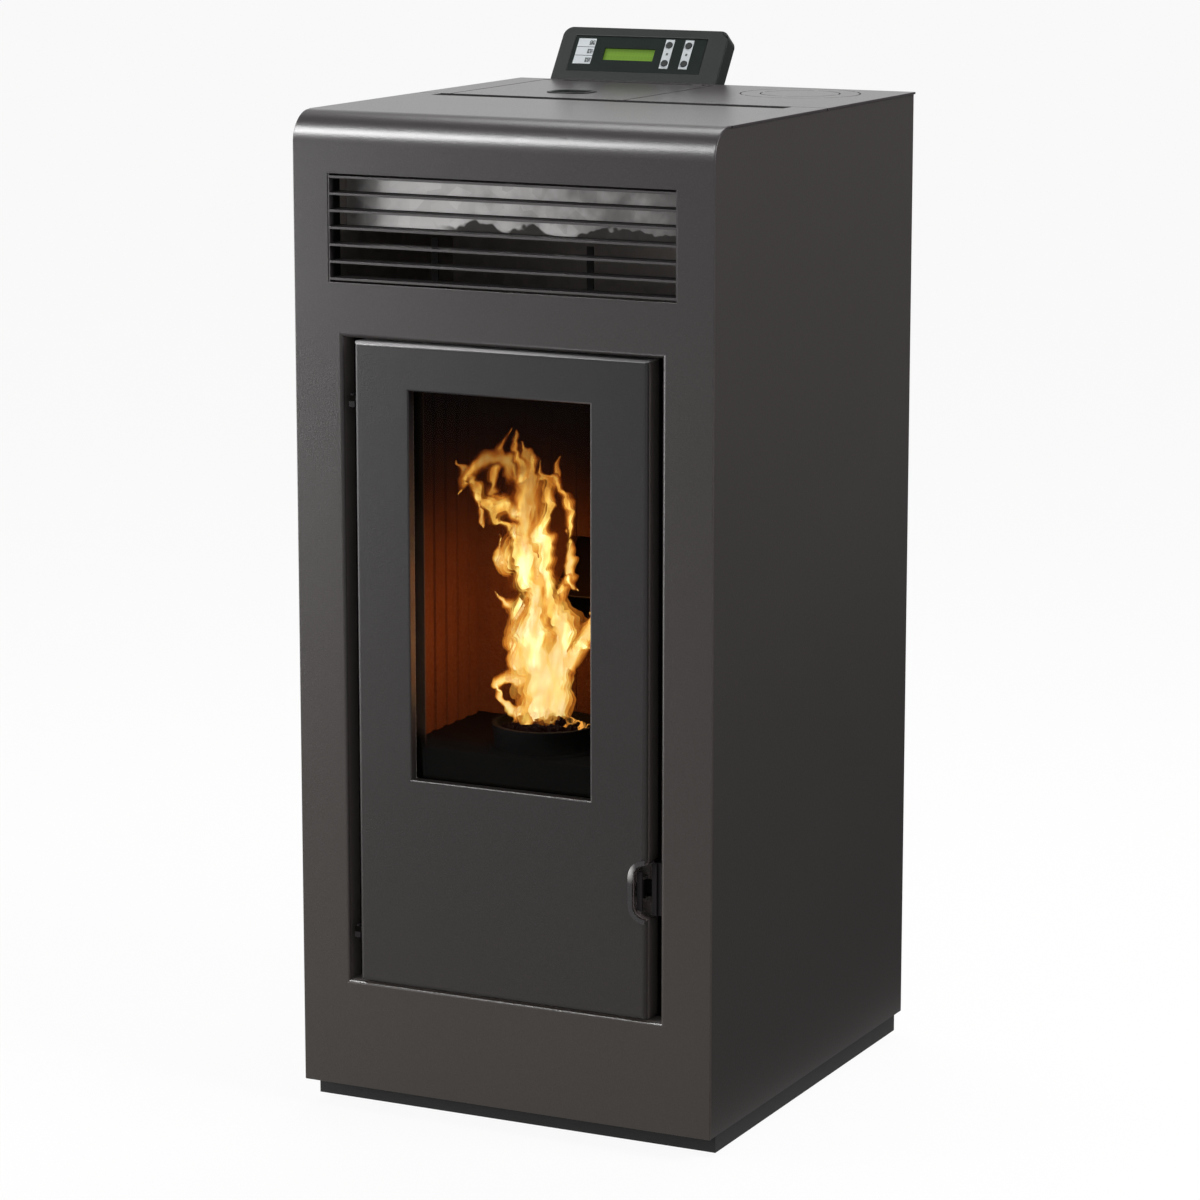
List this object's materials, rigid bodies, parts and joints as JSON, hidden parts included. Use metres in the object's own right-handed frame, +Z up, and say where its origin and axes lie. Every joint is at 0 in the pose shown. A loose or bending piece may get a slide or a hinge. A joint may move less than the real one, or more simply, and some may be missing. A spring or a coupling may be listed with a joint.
{
  "type": "pellet stove",
  "caption": "Free-standing wood pellet stove with a glazed fire door, warm air grille, top hopper lid, leaning control panel and rear flue spigot.",
  "frame": {"origin": "on the floor under the middle of the stove's bounding box", "axes": "+Z up, the door and grille face -Y, +X to the right seen from the front"},
  "size_m": [0.503, 0.6062, 1.169],
  "materials": {
    "casing_paint": "fine satin heat-resistant paint, dark warm grey",
    "door_paint": "satin heat-resistant paint, a little darker than the casing",
    "black_paint": "matt black stove paint",
    "galvanised": "galvanised sheet with a faint spangle",
    "bright_steel": "plain zinc-plated steel",
    "cast_iron": "rough cast iron, sooty",
    "vermiculite": "pressed vermiculite board, speckled and sooty",
    "fire_glass": "clear glass ceramic with a faint smoke film",
    "rope": "braided glass-fibre rope",
    "grip_enamel": "gloss black-grey enamel on a die casting",
    "motor_paint": "semi-gloss black motor enamel",
    "black_plastic": "fine-textured moulded plastic, near black",
    "panel_film": "printed polyester film, dark green-grey",
    "display": "backlit yellow-green liquid crystal display",
    "button": "matt dark grey button caps",
    "rubber": "black moulded rubber",
    "circuit_board": "green solder mask"
  },
  "bodies": {
    "casing": {"front_panel": "casing_paint", "left_side_panel": "casing_paint", "right_side_panel": "casing_paint", "top_plate": "casing_paint", "back_panel": "black_paint", "base_pan": "black_paint", "levelling_foot_1": "rubber", "levelling_foot_2": "rubber", "levelling_foot_3": "rubber", "levelling_foot_4": "rubber", "air_grille": "casing_paint", "air_duct": "black_paint", "air_baffle": "galvanised", "latch_keeper": "black_paint", "hinge_bracket_lower": "black_paint", "hinge_bracket_upper": "black_paint", "firebox_body": "black_paint", "left_liner": "vermiculite", "right_liner": "vermiculite", "back_liner": "vermiculite", "baffle_plate": "vermiculite", "pot_cradle": "cast_iron", "ash_pan": "galvanised", "igniter": "bright_steel", "intake_pipe": "black_paint", "smoke_duct": "galvanised", "exhaust_fan_housing": "black_paint", "exhaust_fan_motor": "motor_paint", "flue_spigot": "galvanised", "room_fan_housing": "galvanised", "room_fan_motor": "motor_paint", "hopper": "galvanised", "auger_tube": "bright_steel", "auger_motor": "motor_paint", "panel_housing": "black_plastic", "panel_fascia": "panel_film", "panel_display": "display", "panel_bracket": "black_paint", "mains_inlet": "black_plastic", "control_board": "circuit_board"},
    "door": {"door_pan": "door_paint", "door_inner_frame": "black_paint", "glass_gasket": "rope", "door_glass": "fire_glass", "glass_clamp": "bright_steel", "door_rope_seal": "rope", "grip_cup": "grip_enamel"},
    "latch": {"latch_lever": "black_paint"},
    "lid": {"hopper_lid": "casing_paint", "lid_pull": "black_plastic", "lid_seal": "rubber"},
    "pot": {"burn_pot": "cast_iron"},
    "auger": {"auger_screw": "bright_steel"},
    "exhaust_wheel": {"exhaust_fan_wheel": "bright_steel"},
    "room_wheel": {"room_fan_wheel": "black_plastic"},
    "button_1": {"panel_button_1": "button"},
    "button_2": {"panel_button_2": "button"},
    "button_3": {"panel_button_3": "button"},
    "button_4": {"panel_button_4": "button"},
    "rocker": {"power_rocker": "button"}
  },
  "joints": [
    {"name": "door_hinge", "type": "hinge", "parent": "casing", "child": "door", "pos_m": [-0.18, -0.29356, 0.5], "axis": [0, 0, -1], "range_deg": [0, 110]},
    {"name": "latch_pull", "type": "hinge", "parent": "door", "child": "latch", "pos_m": [0.1635, -0.28456, 0.2945], "axis": [0, 0, 1], "range_deg": [0, 9], "stiffness_Nm_per_rad": 0.3},
    {"name": "lid_hinge", "type": "hinge", "parent": "casing", "child": "lid", "pos_m": [-0.1025, 0.22544, 1.1075], "axis": [-1, 0, 0], "range_deg": [0, 82]},
    {"name": "pot_lift", "type": "slide", "parent": "casing", "child": "pot", "axis": [0, 0, 1], "range_m": [0, 0.06]},
    {"name": "auger_spin", "type": "hinge", "parent": "casing", "child": "auger", "pos_m": [0, 0.15, 0.5], "axis": [0, -0.7071, 0.7071], "continuous": true},
    {"name": "exhaust_spin", "type": "hinge", "parent": "casing", "child": "exhaust_wheel", "pos_m": [0.118, 0.07, 0.15], "axis": [1, 0, 0], "continuous": true},
    {"name": "room_fan_spin", "type": "hinge", "parent": "casing", "child": "room_wheel", "pos_m": [-0.07, 0.062, 0.078], "axis": [1, 0, 0], "continuous": true},
    {"name": "button_1_press", "type": "slide", "parent": "casing", "child": "button_1", "axis": [0, 0.8192, -0.5736], "range_m": [0, 0.001], "stiffness_N_per_m": 400},
    {"name": "button_2_press", "type": "slide", "parent": "casing", "child": "button_2", "axis": [0, 0.8192, -0.5736], "range_m": [0, 0.001], "stiffness_N_per_m": 400},
    {"name": "button_3_press", "type": "slide", "parent": "casing", "child": "button_3", "axis": [0, 0.8192, -0.5736], "range_m": [0, 0.001], "stiffness_N_per_m": 400},
    {"name": "button_4_press", "type": "slide", "parent": "casing", "child": "button_4", "axis": [0, 0.8192, -0.5736], "range_m": [0, 0.001], "stiffness_N_per_m": 400},
    {"name": "rocker_tilt", "type": "hinge", "parent": "casing", "child": "rocker", "pos_m": [-0.152, 0.23944, 0.1], "axis": [1, 0, 0], "range_deg": [-16, 0]}
  ]
}
